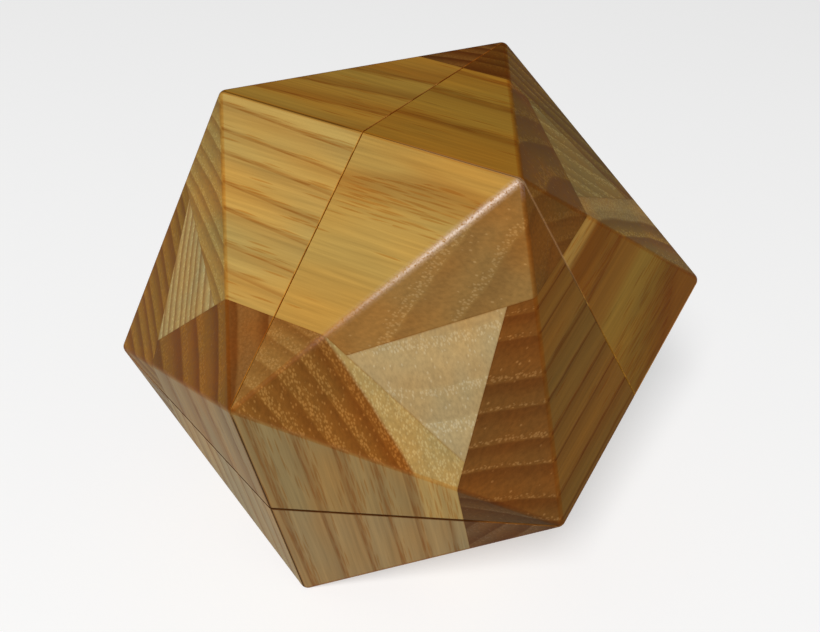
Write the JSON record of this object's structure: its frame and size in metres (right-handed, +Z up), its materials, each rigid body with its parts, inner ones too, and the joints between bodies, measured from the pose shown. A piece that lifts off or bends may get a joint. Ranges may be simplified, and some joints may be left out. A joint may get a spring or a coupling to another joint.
{
  "type": "icosahedral twisty puzzle",
  "caption": "Icosahedral wooden twisty puzzle whose corner pieces turn past one another in halves about a hidden sprung mechanism.",
  "frame": {"origin": "middle of the triangular face the puzzle stands on, at the ground", "axes": "+Z up; +X to the right, along the edge shared by the resting face and its neighbour; +Y to the back. The half-turn plane that the joint uses leans 20.9 degrees forward about X."},
  "size_m": [0.0742, 0.0854, 0.0695],
  "materials": {
    "golden_wood": "satin lacquer",
    "brown_wood": "satin lacquer",
    "dark_wood": "satin lacquer",
    "pale_wood": "satin lacquer",
    "mechanism_plastic": "moulded",
    "core_plastic": "moulded",
    "screw_steel": "plated"
  },
  "bodies": {
    "lower_half": {"arm_screws": "screw_steel", "arm_springs": "screw_steel", "arm_washers": "screw_steel", "centre_back": "mechanism_plastic", "centre_front": "mechanism_plastic", "centre_left": "mechanism_plastic", "centre_lower": "mechanism_plastic", "centre_right": "mechanism_plastic", "core": "core_plastic", "corner_feet_lower": "mechanism_plastic", "cubelet_lower_left_back": "pale_wood", "cubelet_lower_left_front": "pale_wood", "cubelet_lower_right_back": "pale_wood", "cubelet_lower_right_front": "pale_wood", "inner_edge_left_back": "mechanism_plastic", "inner_edge_left_front": "mechanism_plastic", "inner_edge_lower_back": "mechanism_plastic", "inner_edge_lower_front": "mechanism_plastic", "inner_edge_lower_left": "mechanism_plastic", "inner_edge_lower_right": "mechanism_plastic", "inner_edge_right_back": "mechanism_plastic", "inner_edge_right_front": "mechanism_plastic", "key_pins": "screw_steel", "wood_cap_lower_left_back": "golden_wood", "wood_cap_lower_left_front": "golden_wood", "wood_cap_lower_right_back": "golden_wood", "wood_cap_lower_right_front": "golden_wood", "wood_face_lower_left_back": "dark_wood", "wood_face_lower_left_front": "dark_wood", "wood_face_lower_right_back": "dark_wood", "wood_face_lower_right_front": "dark_wood", "wood_side_lower_left_back": "brown_wood", "wood_side_lower_left_front": "brown_wood", "wood_side_lower_right_back": "brown_wood", "wood_side_lower_right_front": "brown_wood"},
    "upper_half": {"centre_upper": "mechanism_plastic", "corner_feet_upper": "mechanism_plastic", "cubelet_upper_left_back": "pale_wood", "cubelet_upper_left_front": "pale_wood", "cubelet_upper_right_back": "pale_wood", "cubelet_upper_right_front": "pale_wood", "inner_edge_upper_back": "mechanism_plastic", "inner_edge_upper_front": "mechanism_plastic", "inner_edge_upper_left": "mechanism_plastic", "inner_edge_upper_right": "mechanism_plastic", "wood_cap_upper_left_back": "golden_wood", "wood_cap_upper_left_front": "golden_wood", "wood_cap_upper_right_back": "golden_wood", "wood_cap_upper_right_front": "golden_wood", "wood_face_upper_left_back": "dark_wood", "wood_face_upper_left_front": "dark_wood", "wood_face_upper_right_back": "dark_wood", "wood_face_upper_right_front": "dark_wood", "wood_side_upper_left_back": "brown_wood", "wood_side_upper_left_front": "brown_wood", "wood_side_upper_right_back": "brown_wood", "wood_side_upper_right_front": "brown_wood"}
  },
  "joints": [
    {"name": "upper_half_turn", "type": "hinge", "parent": "lower_half", "child": "upper_half", "pos_m": [0, 0, 0.03477], "axis": [0, -0.3568, 0.9342], "continuous": true}
  ]
}
